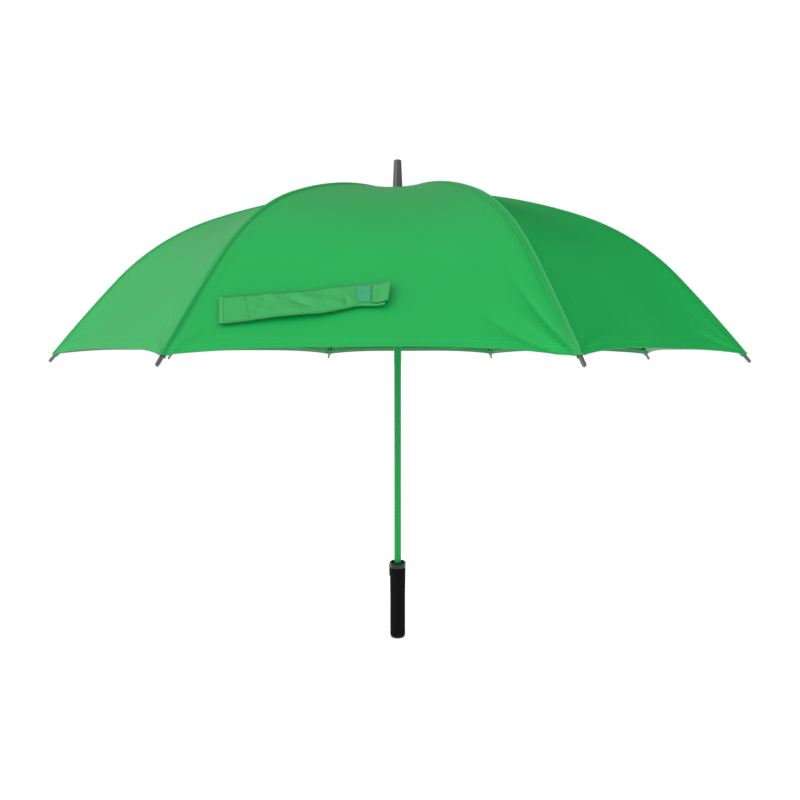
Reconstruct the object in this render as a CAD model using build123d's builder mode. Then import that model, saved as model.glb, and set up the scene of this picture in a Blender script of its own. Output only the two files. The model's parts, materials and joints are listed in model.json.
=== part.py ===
"""Golf umbrella, open: an automatic stick umbrella with a canopy of eight gores.

The origin is the middle of the handle's bottom end, +Z runs up the shaft, and the strap lies on
the gore that faces -Y. Lengths are millimetres and angles are degrees. Rib 0 stands at
half a gore's angle from +X, and the others follow it round the shaft.
"""
from build123d import *
from math import atan2, cos, degrees, exp, hypot, pi, radians, sin
import os

# ---- Canopy frame -------------------------------------------------------------------------------
rib_count = 8
pivot_ring_radius = 13.0        # hinge wires of the notch and of the runner
notch_pivot_z = 863.0           # height of the rib hinges
rib_root_slope = 2.2            # fall of a rib where it leaves the notch
rib_arcs = [(338.0, 20.1), (188.0, 26.6), (152.0, 3.5), (18.0, 0.0)]  # length and turn of each
rod_radius = 1.6
outer_rod_radius = 1.4
joint_arc = 338.0               # from the notch hinge to the flex point of the rib
joint_block_length = 17.0
joint_block_half_width = 2.6
joint_block_top = 2.0           # above the rib's axis
joint_block_past = 1.0          # end of the block, past the flex point but for the gap
joint_block_floor = 1.0         # below the inner rod
joint_block_corner = 0.8
rod_start = 8.0                 # from the notch hinge to the round part of the inner rib
rod_in_block = 5.0
flex_gap = 1.5                  # between the joint block and the outer rod
pin_drop = 7.0                  # stretcher pin below the rib's axis
pin_setback = 8.0               # stretcher pin before the flex point
pin_radius = 1.0
pin_clearance = 0.08
tongue_half_thickness = 1.0
tongue_radius = 3.0
tongue_eye_radius = 2.8
tongue_overlap = 2.0            # of a stretcher's rod and its flat end
tongue_length = 13.0
slot_clearance = 0.3            # each side of a tongue
hinge_wire_radius = 0.8
closed_rib_fall = 88.8          # angle of the notch hinge to stretcher pin line, furled
closed_tip_fall = 88.3          # angle of the flex point to rib tip line, furled
tip_length = 18.0
tip_radius = 2.5
tip_mouth_radius = 3.1
tip_mouth_length = 1.6
tip_taper_end = 3.2
tip_wall_end = 3.0              # solid nose beyond the rod

# ---- Canopy and strap ---------------------------------------------------------------------------
canopy_thickness = 1.0
canopy_lift = 3.4               # underside above the rib's axis
canopy_crown_rise = 3.2         # extra lift over the notch
canopy_crown_reach = 25.0
canopy_sag = 12.0               # dip of a gore's middle below the line between its ribs
canopy_sag_reach = 180.0
canopy_inner_arc = -4.0         # inner and outer edges, along the rib from its hinge
canopy_outer_arc = 676.0
canopy_stations = 13
canopy_station_spread = 1.3     # sections stand closer together at the crown
canopy_least_dip = 0.01
strap_width = 38.0
strap_thickness = 1.2
strap_gap = 2.0
strap_start = (622.0, -0.79)    # arc along the rib, and place across the gore from -1 to 1
strap_end = (591.0, 0.10)
strap_stations = 6
patch_share = (0.79, 0.91)      # of the strap's length
patch_width = 30.0
patch_thickness = 1.4
patch_gap = 0.1
strap_step = 0.02               # share of its length over which its direction is taken

# ---- Shaft and top ------------------------------------------------------------------------------
shaft_radius = 7.0
shaft_bore_radius = 6.0
shaft_foot_z = 12.0
running_clearance = 0.06
notch_radius = 17.0
notch_below = 6.0
notch_roof = 3.6                # underside of the roof above the hinge
notch_roof_thickness = 1.8
notch_core_radius = 9.6
notch_pin_radius = 1.1
notch_pin_drop = 4.0
notch_pin_inset = 0.6
slot_overrun = 2.0              # of a cut beyond the face that it leaves
cap_radius = 17.5
cap_height = 8.0
cap_gap = 0.3
cap_neck_radius = 10.4
cap_neck_height = 1.2
cap_rim_height = 1.4
cap_shoulder_reach = 2.4        # beyond the neck
cap_shoulder_height = 3.4
ferrule_length = 52.0
ferrule_base_radius = 9.2
ferrule_top_radius = 7.0
ferrule_socket = 10.0
ferrule_tip_round = 1.8

# ---- Runner -------------------------------------------------------------------------------------
runner_barrel_radius = 9.3
runner_crown_radius = 17.0
runner_crown_below = 5.0
runner_crown_above = 5.0
runner_crown_taper = 3.0
runner_slot_floor_radius = 9.9
runner_neck = 12.0
runner_bead_radius = 11.6
runner_bead_height = 6.0
runner_bead_share = 0.35        # of the way up the barrel
drive_pin_radius = 1.3
drive_pin_drop = 11.0
drive_slot_clearance = 0.08
drive_slot_end = 1.6            # room beyond the pin at each end of its travel

# ---- Handle -------------------------------------------------------------------------------------
handle_height = 152.0
end_cap_height = 4.0
end_cap_inset = 0.3             # inside the foam's wall
end_cap_round = 1.6
grip_radius = 15.1
grip_top_radius = 15.9
grip_straight_top = 86.0
core_radius = 12.4
core_top_z = 118.0
collar_radius = 16.2
collar_ring_height = 10.0
collar_sleeve_radius = 13.2
collar_floor = 3.0
collar_foot_inset = 0.3
collar_foot_height = 2.0
collar_rim_round = 1.2
recess_radius = 11.9
recess_bevel = 0.8
skirt_insertion = 3.0           # how far the furled runner enters the collar
button_width = 10.0
button_drop = 4.0               # top of the button below the collar's rim
button_height = 23.0
button_stand = 1.1              # proud of the collar
button_thickness = 3.4
button_window_clearance = 0.3
button_window_past = 1.4        # cut beyond the recess wall
button_edge_drop = 0.8
button_edge_round = 0.6
stem_width = 8.0
stem_inset = 3.0                # ends of the stem inside the pad's
stem_length = 2.0
catch_width = 6.0
catch_thickness = 1.0

# ---- Opening spring -----------------------------------------------------------------------------
plug_bottom_z = 150.0
plug_height = 12.0
spring_wire_radius = 0.7
spring_radius = 4.4
spring_turns = 20

gore_angle = 360 / rib_count
half_gore = radians(gore_angle / 2)
slot_half_width = tongue_half_thickness + slot_clearance


def rib_point(arc, lift=0.0):
    """Radius, height and fall of the rib at an arc length, lifted square to the rib."""
    radius = pivot_ring_radius
    height = notch_pivot_z
    fall = radians(rib_root_slope)
    start = 0.0
    for index, (length, turn) in enumerate(rib_arcs):
        last = index == len(rib_arcs) - 1
        step = arc - start if last else min(arc - start, length)
        if turn:
            bend = length / radians(turn)
            next_fall = fall + step / bend
            radius += bend * (sin(next_fall) - sin(fall))
            height -= bend * (cos(fall) - cos(next_fall))
            fall = next_fall
        else:
            radius += step * cos(fall)
            height -= step * sin(fall)
        start += length
        if arc <= start:
            break
    return radius + lift * sin(fall), height + lift * cos(fall), fall


def rib_angle(index):
    """Bearing of a rib round the shaft, in degrees."""
    return gore_angle * (index + 0.5)


# ---- Linkage ------------------------------------------------------------------------------------
# A rib's stretcher pin is as far from the notch hinge as from the runner hinge, and both hinges
# are at one radius, so the runner hinge always lies straight below the notch hinge.
rib_length = sum(length for length, turn in rib_arcs)
flex_x, flex_z = rib_point(joint_arc)[:2]
pin_x, pin_z, pin_fall = rib_point(joint_arc - pin_setback, -pin_drop)
tip_x, tip_z = rib_point(rib_length)[:2]
link_length = hypot(pin_x - pivot_ring_radius, notch_pivot_z - pin_z)
open_rib_fall = degrees(atan2(notch_pivot_z - pin_z, pin_x - pivot_ring_radius))
open_tip_fall = degrees(atan2(flex_z - tip_z, tip_x - flex_x))
runner_open_z = notch_pivot_z - 2 * link_length * sin(radians(open_rib_fall))
runner_closed_z = notch_pivot_z - 2 * link_length * sin(radians(closed_rib_fall))
runner_travel = runner_open_z - runner_closed_z
rib_swing = closed_rib_fall - open_rib_fall
flex_swing = (closed_tip_fall - open_tip_fall) - rib_swing
stretcher_swing = -2 * rib_swing
skirt_length = runner_closed_z - (handle_height - skirt_insertion)
button_top_z = handle_height - button_drop
button_bottom_z = button_top_z - button_height


def canopy_underside(arc):
    """Lift of the cloth's underside above the rib's axis."""
    return canopy_lift + canopy_crown_rise / (1 + (arc / canopy_crown_reach) ** 2)


def gore_sag(arc):
    """Dip of the gore's middle, square to the rib."""
    return canopy_sag * (1 - exp(-(max(arc, 0) / canopy_sag_reach) ** 2))


def gore_section(arc):
    """Plane of the section across a gore, whose middle is over +X, and its half chord and lift."""
    radius, height, fall = rib_point(arc, canopy_underside(arc))
    across = Vector(sin(fall) * cos(half_gore), 0, cos(fall))
    plane = Plane(
        origin=(radius * cos(half_gore), 0, height),
        x_dir=(0, 1, 0),
        z_dir=Vector(0, 1, 0).cross(across),
    )
    half_chord = radius * sin(half_gore)
    spread = canopy_thickness * sin(fall) * sin(half_gore)
    return plane, half_chord, spread, canopy_thickness * across.length


def cloth_point(arc, across, lift):
    """Point over a gore whose middle is over +X, above the cloth's top face by a lift."""
    radius, height, fall = rib_point(arc, canopy_underside(arc) + canopy_thickness)
    dip = gore_sag(arc) * (1 - across ** 2) - lift
    tilt = Vector(sin(fall) * cos(half_gore), 0, cos(fall)).normalized()
    base = Vector(radius * cos(half_gore), across * radius * sin(half_gore), height)
    return base - tilt * dip


def save(piece, label):
    """Name a finished piece and write it to its own file."""
    piece.label = label
    export_step(piece, f"parts/{label}.step")


os.makedirs("parts", exist_ok=True)

# ---- Shaft --------------------------------------------------------------------------------------
notch_top_z = notch_pivot_z + notch_roof + notch_roof_thickness
cloth_top_z = notch_pivot_z + canopy_underside(0) + canopy_thickness
cap_base_z = cloth_top_z + cap_gap
ferrule_base_z = cap_base_z + cap_height
shaft_top_z = ferrule_base_z + ferrule_socket
drive_pin_open_z = runner_open_z - drive_pin_drop
drive_pin_closed_z = runner_closed_z - drive_pin_drop
drive_slot_top = drive_pin_open_z + drive_pin_radius + drive_slot_end
drive_slot_bottom = drive_pin_closed_z - drive_pin_radius - drive_slot_end

with BuildPart() as shaft:
    with BuildSketch(Plane.XY.offset(shaft_foot_z)):
        Circle(shaft_radius)
        Circle(shaft_bore_radius, mode=Mode.SUBTRACT)
    extrude(amount=shaft_top_z - shaft_foot_z)
    with BuildSketch(Plane.YZ):
        with Locations((0, (drive_slot_top + drive_slot_bottom) / 2)):
            SlotOverall(
                drive_slot_top - drive_slot_bottom,
                2 * (drive_pin_radius + drive_slot_clearance),
                rotation=90,
            )
    extrude(amount=2 * shaft_radius, both=True, mode=Mode.SUBTRACT)
    with BuildSketch(Plane.XZ):
        with Locations((0, notch_pivot_z - notch_pin_drop)):
            Circle(notch_pin_radius)
    extrude(amount=2 * shaft_radius, both=True, mode=Mode.SUBTRACT)
save(shaft.part, "shaft")

# ---- Top notch, its hinge wire and its cross pin --------------------------------------------------
with BuildPart() as notch_wire:
    with BuildSketch(Plane.XZ):
        with Locations((pivot_ring_radius, notch_pivot_z)):
            Circle(hinge_wire_radius)
    revolve(axis=Axis.Z)
save(notch_wire.part, "notch_wire")

with BuildPart() as notch_pin:
    with BuildSketch(Plane.XZ):
        with Locations((0, notch_pivot_z - notch_pin_drop)):
            Circle(notch_pin_radius)
    extrude(amount=notch_radius - notch_pin_inset, both=True)
save(notch_pin.part, "notch_pin")

with BuildPart() as top_notch:
    with BuildSketch(Plane.XY.offset(notch_pivot_z - notch_below)):
        Circle(notch_radius)
        Circle(shaft_radius, mode=Mode.SUBTRACT)
    extrude(amount=notch_below + notch_roof + notch_roof_thickness)
    rims = top_notch.edges().filter_by(GeomType.CIRCLE).group_by(SortBy.RADIUS)[-1]
    chamfer(rims.sort_by(Axis.Z)[-1], notch_roof_thickness * 0.5)
    with BuildSketch(Plane.XY.offset(notch_pivot_z - notch_below)):
        with PolarLocations(0, rib_count, start_angle=gore_angle / 2):
            with Locations(((notch_core_radius + notch_radius + slot_overrun) / 2, 0)):
                Rectangle(notch_radius + slot_overrun - notch_core_radius, 2 * slot_half_width)
    extrude(amount=notch_below + notch_roof, mode=Mode.SUBTRACT)
    add(notch_wire.part, mode=Mode.SUBTRACT)
    add(notch_pin.part, mode=Mode.SUBTRACT)
save(top_notch.part, "top_notch")

# ---- Rosette cap and ferrule ----------------------------------------------------------------------
with BuildPart() as crown_cap:
    with BuildSketch(Plane.XZ):
        with BuildLine():
            Polyline(
                (shaft_radius, cap_base_z),
                (cap_radius, cap_base_z),
                (cap_radius, cap_base_z + cap_rim_height),
            )
            cap_curve = ThreePointArc(
                (cap_radius, cap_base_z + cap_rim_height),
                (cap_neck_radius + cap_shoulder_reach, cap_base_z + cap_shoulder_height),
                (cap_neck_radius, cap_base_z + cap_height - cap_neck_height),
            )
            Polyline(
                cap_curve @ 1,
                (cap_neck_radius, cap_base_z + cap_height),
                (shaft_radius, cap_base_z + cap_height),
                (shaft_radius, cap_base_z),
            )
        make_face()
    revolve(axis=Axis.Z)
save(crown_cap.part, "crown_cap")

with BuildPart() as ferrule:
    with BuildSketch(Plane.XZ):
        with BuildLine():
            Polyline(
                (0, ferrule_base_z + ferrule_socket),
                (shaft_radius, ferrule_base_z + ferrule_socket),
                (shaft_radius, ferrule_base_z),
                (ferrule_base_radius, ferrule_base_z),
                (ferrule_top_radius, ferrule_base_z + ferrule_length),
                (0, ferrule_base_z + ferrule_length),
                (0, ferrule_base_z + ferrule_socket),
            )
        make_face()
    revolve(axis=Axis.Z)
    fillet(ferrule.edges().filter_by(GeomType.CIRCLE).sort_by(Axis.Z)[-1], ferrule_tip_round)
save(ferrule.part, "ferrule")

# ---- Canopy ---------------------------------------------------------------------------------------
canopy_span = canopy_outer_arc - canopy_inner_arc
with BuildPart() as gore:
    for station in range(canopy_stations):
        share = (station / (canopy_stations - 1)) ** canopy_station_spread
        arc = canopy_inner_arc + canopy_span * share
        plane, half_chord, spread, height = gore_section(arc)
        dip = gore_sag(arc) + canopy_least_dip
        with BuildSketch(plane):
            with BuildLine():
                lower = ThreePointArc((-half_chord, 0), (0, -dip), (half_chord, 0))
                upper = ThreePointArc(
                    (-half_chord - spread, height),
                    (0, height - dip),
                    (half_chord + spread, height),
                )
                Line(lower @ 0, upper @ 0)
                Line(lower @ 1, upper @ 1)
            make_face()
    loft()

with BuildPart() as canopy:
    for index in range(rib_count):
        add(gore.part, rotation=(0, 0, gore_angle * index))
save(canopy.part, "canopy")


def strap_place(share, lift):
    """Plane across the strap at a share of its length, and its lift above the cloth."""
    span_arc = strap_end[0] - strap_start[0]
    span_across = strap_end[1] - strap_start[1]
    here = cloth_point(strap_start[0] + span_arc * share, strap_start[1] + span_across * share, lift)
    ahead = cloth_point(
        strap_start[0] + span_arc * (share + strap_step),
        strap_start[1] + span_across * (share + strap_step),
        lift,
    )
    above = cloth_point(
        strap_start[0] + span_arc * share, strap_start[1] + span_across * share, lift + 1
    )
    run = (ahead - here).normalized()
    return Plane(origin=here, x_dir=run.cross(above - here), z_dir=run)


def strap_piece(shares, lift, width, thickness, label):
    """A flat band along the strap's line, lofted between shares of its length."""
    with BuildPart() as band:
        for share in shares:
            with BuildSketch(strap_place(share, lift + thickness / 2)):
                Rectangle(width, thickness)
        loft()
    with BuildPart() as placed:
        add(band.part, rotation=(0, 0, -90))
    save(placed.part, label)


strap_shares = [station / (strap_stations - 1) for station in range(strap_stations)]
strap_piece(strap_shares, strap_gap, strap_width, strap_thickness, "strap")
patch_lift = strap_gap + strap_thickness + patch_gap
strap_piece(patch_share, patch_lift, patch_width, patch_thickness, "strap_patch")

# ---- Ribs, stretchers and tips ----------------------------------------------------------------------
block_start = joint_arc - joint_block_length + joint_block_past
block_end = joint_arc + joint_block_past - flex_gap


def rib_path(first, last):
    """Arcs along the rib's axis between two arc lengths, in the current BuildLine."""
    start = 0.0
    for length, turn in rib_arcs:
        low = max(first, start)
        high = min(last, start + length)
        if high > low:
            ends = [rib_point(place)[:2] for place in (low, (low + high) / 2, high)]
            if turn:
                ThreePointArc(*ends)
            else:
                Line(ends[0], ends[2])
        start += length


def rib_plane(arc):
    """Plane across the rib's axis at an arc length, over +X."""
    radius, height, fall = rib_point(arc)
    return Plane(origin=(radius, 0, height), x_dir=(0, 1, 0), z_dir=(cos(fall), 0, -sin(fall)))


with BuildPart() as rib_root:
    with BuildSketch(Plane.XZ):
        with Locations((pivot_ring_radius, notch_pivot_z)):
            Circle(tongue_eye_radius)
            with Locations(Location((tongue_length / 2, 0), -rib_root_slope)):
                Rectangle(tongue_length, 2 * rod_radius)
        with Locations((pivot_ring_radius, notch_pivot_z)):
            Circle(hinge_wire_radius + pin_clearance, mode=Mode.SUBTRACT)
    extrude(amount=tongue_half_thickness, both=True)
    with BuildLine(Plane.XZ) as root_path:
        rib_path(rod_start, block_start + rod_in_block)
    with BuildSketch(rib_plane(rod_start)):
        Circle(rod_radius)
    sweep(path=root_path.line)

with BuildPart() as rib_end:
    with BuildLine(Plane.XZ) as end_path:
        rib_path(joint_arc + flex_gap, rib_length - tip_wall_end)
    with BuildSketch(rib_plane(joint_arc + flex_gap)):
        Circle(outer_rod_radius)
    sweep(path=end_path.line)

# The block is drawn from its pin, along and above the rib's fall there.
block_plane = Plane(
    origin=(pin_x, 0, pin_z),
    x_dir=(cos(pin_fall), 0, -sin(pin_fall)),
    z_dir=(0, -1, 0),
)
body_length = block_end - block_start
body_middle = (block_start + block_end) / 2 - (joint_arc - pin_setback)
body_bottom = pin_drop - rod_radius - joint_block_floor
body_top = pin_drop + joint_block_top

with BuildPart() as joint_block:
    with BuildSketch(block_plane):
        with Locations((body_middle, (body_bottom + body_top) / 2)):
            RectangleRounded(body_length, body_top - body_bottom, joint_block_corner)
        Circle(tongue_radius)
        with Locations((0, body_bottom / 2)):
            Rectangle(2 * tongue_radius, body_bottom)
    extrude(amount=joint_block_half_width, both=True)
    with BuildSketch(block_plane):
        with Locations((0, (body_bottom - tongue_radius - slot_overrun) / 2)):
            Rectangle(3 * tongue_radius + slot_overrun, body_bottom + tongue_radius + slot_overrun)
    extrude(amount=slot_half_width, both=True, mode=Mode.SUBTRACT)
    with BuildSketch(Plane.XZ):
        with Locations((pin_x, pin_z)):
            Circle(pin_radius)
    extrude(amount=joint_block_half_width, both=True)
    add(rib_root.part, mode=Mode.SUBTRACT)

with BuildPart() as tip_pattern:
    with BuildSketch(Plane.XZ):
        with BuildLine():
            Polyline(
                (0, 0),
                (tip_mouth_radius, 0),
                (tip_mouth_radius, tip_mouth_length),
                (tip_radius, tip_taper_end),
                (tip_radius, tip_length - tip_radius),
            )
            ThreePointArc(
                (tip_radius, tip_length - tip_radius),
                (tip_radius * sin(pi / 4), tip_length - tip_radius * (1 - sin(pi / 4))),
                (0, tip_length),
            )
            Line((0, tip_length), (0, 0))
        make_face()
    revolve(axis=Axis.Z)
    with BuildSketch():
        Circle(outer_rod_radius)
    extrude(amount=tip_length - tip_wall_end, mode=Mode.SUBTRACT)

# The stretcher is drawn from its rib pin inwards along the line to the runner hinge.
stretcher_plane = Plane(
    origin=(pin_x, 0, pin_z),
    x_dir=(-cos(radians(open_rib_fall)), 0, -sin(radians(open_rib_fall))),
    z_dir=(0, 1, 0),
)
with BuildPart() as link:
    for hinge, hole_radius, inward in (
        (0.0, pin_radius + pin_clearance, 1),
        (link_length, hinge_wire_radius + pin_clearance, -1),
    ):
        with BuildSketch(stretcher_plane):
            with Locations((hinge, 0)):
                Circle(tongue_eye_radius)
            with Locations((hinge + inward * tongue_length / 2, 0)):
                Rectangle(tongue_length, 2 * rod_radius)
            with Locations((hinge, 0)):
                Circle(hole_radius, mode=Mode.SUBTRACT)
        extrude(amount=tongue_half_thickness, both=True)
    rod_inset = tongue_length - tongue_overlap
    rod_foot = stretcher_plane.from_local_coords((rod_inset, 0, 0))
    with BuildSketch(Plane(origin=rod_foot, z_dir=stretcher_plane.x_dir)):
        Circle(rod_radius)
    extrude(amount=link_length - 2 * rod_inset)

for index in range(rib_count):
    bearing = rib_angle(index)
    with BuildPart() as rib_inner:
        add(rib_root.part, rotation=(0, 0, bearing))
    save(rib_inner.part, f"rib_inner_{index + 1}")
    with BuildPart() as rib_joint:
        add(joint_block.part, rotation=(0, 0, bearing))
    save(rib_joint.part, f"rib_joint_{index + 1}")
    with BuildPart() as rib_outer:
        add(rib_end.part, rotation=(0, 0, bearing))
    save(rib_outer.part, f"rib_outer_{index + 1}")
    with BuildPart() as stretcher:
        add(link.part, rotation=(0, 0, bearing))
    save(stretcher.part, f"stretcher_{index + 1}")
    tip_start = rib_plane(rib_length - tip_length)
    with BuildPart() as tip_over_x:
        add(tip_start.location * tip_pattern.part)
    with BuildPart() as rib_tip:
        add(tip_over_x.part, rotation=(0, 0, bearing))
    save(rib_tip.part, f"rib_tip_{index + 1}")

# ---- Runner, its hinge wire and its drive pin ---------------------------------------------------------
with BuildPart() as runner_wire:
    with BuildSketch(Plane.XZ):
        with Locations((pivot_ring_radius, runner_open_z)):
            Circle(hinge_wire_radius)
    revolve(axis=Axis.Z)
save(runner_wire.part, "runner_wire")

with BuildPart() as drive_pin:
    with BuildSketch(Plane.YZ):
        with Locations((0, drive_pin_open_z)):
            Circle(drive_pin_radius)
    extrude(amount=runner_barrel_radius, both=True)
save(drive_pin.part, "drive_pin")

barrel_bore = shaft_radius + running_clearance
barrel_bottom = runner_open_z - skirt_length
bead_middle = barrel_bottom + runner_bead_share * skirt_length
with BuildPart() as runner:
    with BuildSketch(Plane.XZ):
        with BuildLine():
            Polyline(
                (barrel_bore, barrel_bottom),
                (runner_barrel_radius, barrel_bottom),
                (runner_barrel_radius, bead_middle - runner_bead_height / 2),
            )
            ThreePointArc(
                (runner_barrel_radius, bead_middle - runner_bead_height / 2),
                (runner_bead_radius, bead_middle),
                (runner_barrel_radius, bead_middle + runner_bead_height / 2),
            )
            Polyline(
                (runner_barrel_radius, bead_middle + runner_bead_height / 2),
                (runner_barrel_radius, runner_open_z - runner_crown_below - runner_crown_taper),
                (runner_crown_radius, runner_open_z - runner_crown_below),
                (runner_crown_radius, runner_open_z + runner_crown_above),
                (runner_barrel_radius, runner_open_z + runner_crown_above),
                (runner_barrel_radius, runner_open_z + runner_neck),
                (barrel_bore, runner_open_z + runner_neck),
                (barrel_bore, barrel_bottom),
            )
        make_face()
    revolve(axis=Axis.Z)
    crown_cut_below = runner_crown_below + runner_crown_taper + slot_overrun
    with BuildSketch(Plane.XY.offset(runner_open_z - crown_cut_below)):
        with PolarLocations(0, rib_count, start_angle=gore_angle / 2):
            with Locations(((runner_slot_floor_radius + runner_crown_radius + slot_overrun) / 2, 0)):
                Rectangle(
                    runner_crown_radius + slot_overrun - runner_slot_floor_radius,
                    2 * slot_half_width,
                )
    extrude(amount=crown_cut_below + runner_crown_above + slot_overrun, mode=Mode.SUBTRACT)
    add(runner_wire.part, mode=Mode.SUBTRACT)
    add(drive_pin.part, mode=Mode.SUBTRACT)
save(runner.part, "runner")

# ---- Opening spring and its plug ----------------------------------------------------------------------
spring_foot_z = plug_bottom_z + plug_height
spring_length = drive_pin_open_z - drive_pin_radius - spring_foot_z - 2 * spring_wire_radius
with BuildPart() as spring_plug:
    with BuildSketch(Plane.XY.offset(plug_bottom_z)):
        Circle(shaft_bore_radius)
    extrude(amount=plug_height)
save(spring_plug.part, "spring_plug")

with BuildPart() as opening_spring:
    with BuildLine() as coil:
        Helix(spring_length / spring_turns, spring_length, spring_radius,
              center=(0, 0, spring_foot_z + spring_wire_radius))
    with BuildSketch(Plane(origin=coil.line @ 0, z_dir=coil.line % 0)):
        Circle(spring_wire_radius)
    sweep(path=coil.line, is_frenet=True)
save(opening_spring.part, "opening_spring")

# ---- Handle ---------------------------------------------------------------------------------------------
window_half_width = button_width / 2 + button_window_clearance
window_bottom_z = button_bottom_z - button_window_clearance
window_top_z = button_top_z + button_window_clearance
window_depth = 2 * (collar_radius - recess_radius + button_window_past)
ring_bottom_z = handle_height - collar_ring_height

with BuildPart() as handle_core:
    with BuildSketch(Plane.XY.offset(end_cap_height)):
        Circle(core_radius)
    extrude(amount=core_top_z - end_cap_height)
    with BuildSketch(Plane.XY.offset(shaft_foot_z)):
        Circle(shaft_radius)
    extrude(amount=core_top_z, mode=Mode.SUBTRACT)
save(handle_core.part, "handle_core")

with BuildPart() as button_window:
    with BuildSketch(Plane.XZ):
        with Locations((-collar_radius, (window_bottom_z + window_top_z) / 2)):
            Rectangle(window_depth, window_top_z - window_bottom_z)
    extrude(amount=window_half_width, both=True)

with BuildPart() as grip_collar:
    with BuildSketch(Plane.XZ):
        with BuildLine():
            Polyline(
                (shaft_radius, core_top_z),
                (collar_sleeve_radius, core_top_z),
                (collar_sleeve_radius, ring_bottom_z),
                (collar_radius - collar_foot_inset, ring_bottom_z),
                (collar_radius, ring_bottom_z + collar_foot_height),
                (collar_radius, handle_height - collar_rim_round),
                (collar_radius - collar_rim_round, handle_height),
                (recess_radius + recess_bevel, handle_height),
                (recess_radius, handle_height - recess_bevel),
                (recess_radius, core_top_z + collar_floor),
                (shaft_radius, core_top_z + collar_floor),
                (shaft_radius, core_top_z),
            )
        make_face()
    revolve(axis=Axis.Z)
    add(button_window.part, mode=Mode.SUBTRACT)
save(grip_collar.part, "grip_collar")

with BuildPart() as foam_grip:
    with BuildSketch(Plane.XZ):
        with BuildLine():
            Polyline(
                (core_radius, end_cap_height),
                (grip_radius, end_cap_height),
                (grip_radius, grip_straight_top),
            )
            Polyline(
                (grip_radius, grip_straight_top),
                (grip_top_radius, ring_bottom_z),
                (collar_sleeve_radius, ring_bottom_z),
                (collar_sleeve_radius, core_top_z),
                (core_radius, core_top_z),
                (core_radius, end_cap_height),
            )
        make_face()
    revolve(axis=Axis.Z)
    add(button_window.part, mode=Mode.SUBTRACT)
save(foam_grip.part, "foam_grip")

with BuildPart() as end_cap:
    with BuildSketch():
        Circle(grip_radius - end_cap_inset)
    extrude(amount=end_cap_height)
    fillet(end_cap.edges().sort_by(Axis.Z)[0], end_cap_round)
save(end_cap.part, "end_cap")

# ---- Push button and runner catch ---------------------------------------------------------------
button_outer = collar_radius + button_stand
pad_inner = button_outer - button_thickness
stem_inner = pad_inner - stem_length
with BuildPart() as push_button:
    with BuildSketch(Plane.XY.offset(button_bottom_z)):
        with BuildLine():
            face_arc = ThreePointArc(
                (-button_outer + button_edge_drop, -button_width / 2),
                (-button_outer, 0),
                (-button_outer + button_edge_drop, button_width / 2),
            )
            Polyline(
                face_arc @ 1,
                (-pad_inner, button_width / 2),
                (-pad_inner, -button_width / 2),
                face_arc @ 0,
            )
        make_face()
    extrude(amount=button_height)
    fillet(push_button.faces().sort_by(Axis.X)[0].edges(), button_edge_round)
    with BuildSketch(Plane.YZ.offset(-pad_inner)):
        with Locations((0, (button_bottom_z + button_top_z) / 2)):
            Rectangle(stem_width, button_height - 2 * stem_inset)
    extrude(amount=stem_length)
save(push_button.part, "push_button")

with BuildPart() as runner_catch:
    with BuildSketch(Plane.YZ.offset(-stem_inner)):
        with Locations((0, (button_bottom_z + button_top_z) / 2)):
            Rectangle(catch_width, button_height)
    extrude(amount=catch_thickness)
save(runner_catch.part, "runner_catch")
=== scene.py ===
"""Golf umbrella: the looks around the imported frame, laid out as an add-on and run as a script.

Lengths are metres. The frame brings the shaft, ribs, runner and handle, and this script makes the
cloth of the canopy, the strap, the foam sleeve and the small sewn pieces, and gives every piece
its finish.
"""
import json
import math
import random

import bmesh
import bpy
import numpy as np
from mathutils import Matrix, Vector, noise


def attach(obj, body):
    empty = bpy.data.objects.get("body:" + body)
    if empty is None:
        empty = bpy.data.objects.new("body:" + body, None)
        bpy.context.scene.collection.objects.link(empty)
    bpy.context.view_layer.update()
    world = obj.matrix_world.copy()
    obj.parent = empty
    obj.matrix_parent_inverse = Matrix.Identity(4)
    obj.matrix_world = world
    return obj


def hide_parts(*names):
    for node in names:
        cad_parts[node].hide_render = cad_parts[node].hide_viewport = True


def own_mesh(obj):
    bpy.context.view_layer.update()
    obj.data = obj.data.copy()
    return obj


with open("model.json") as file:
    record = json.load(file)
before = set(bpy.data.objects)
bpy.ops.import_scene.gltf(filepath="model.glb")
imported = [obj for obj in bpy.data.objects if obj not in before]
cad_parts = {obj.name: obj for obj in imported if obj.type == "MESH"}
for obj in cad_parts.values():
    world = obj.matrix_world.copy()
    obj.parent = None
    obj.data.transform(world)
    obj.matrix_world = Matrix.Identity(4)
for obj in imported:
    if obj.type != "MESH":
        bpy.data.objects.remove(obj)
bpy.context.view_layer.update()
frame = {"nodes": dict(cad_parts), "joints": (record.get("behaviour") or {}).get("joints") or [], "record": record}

bl_info = {
    "name": "Golf Umbrella",
    "version": (1, 0, 0),
    "blender": (4, 5, 0),
    "location": "View3D > Sidebar > Umbrella",
    "description": "Makes the canopy, strap, grip and finishes of a golf umbrella around its frame",
    "category": "Object",
}

JOINTS = {joint["name"]: joint for joint in frame["joints"]}
HINGE = JOINTS["rib_hinge_1"]["pos_m"]
RIB_COUNT = sum(1 for name in JOINTS if name.startswith("rib_hinge_"))
GORE = 2 * math.pi / RIB_COUNT
HALF = GORE / 2
MM = 0.001
# Length and turn in degrees of each arc of a rib, from its hinge to its tip.
RIB_ARCS = ((0.338, 20.1), (0.188, 26.6), (0.152, 3.5), (0.018, 0.0))


# ---- Sizes and colours a user would change ------------------------------------------------------
def length(name, text, default):
    """A length property in metres."""
    return bpy.props.FloatProperty(
        name=name, description=text, default=default, unit="LENGTH", precision=4
    )


def colour(name, text, default):
    """A linear colour property."""
    return bpy.props.FloatVectorProperty(
        name=name, description=text, default=default, size=3, subtype="COLOR", min=0, max=1
    )


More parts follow.
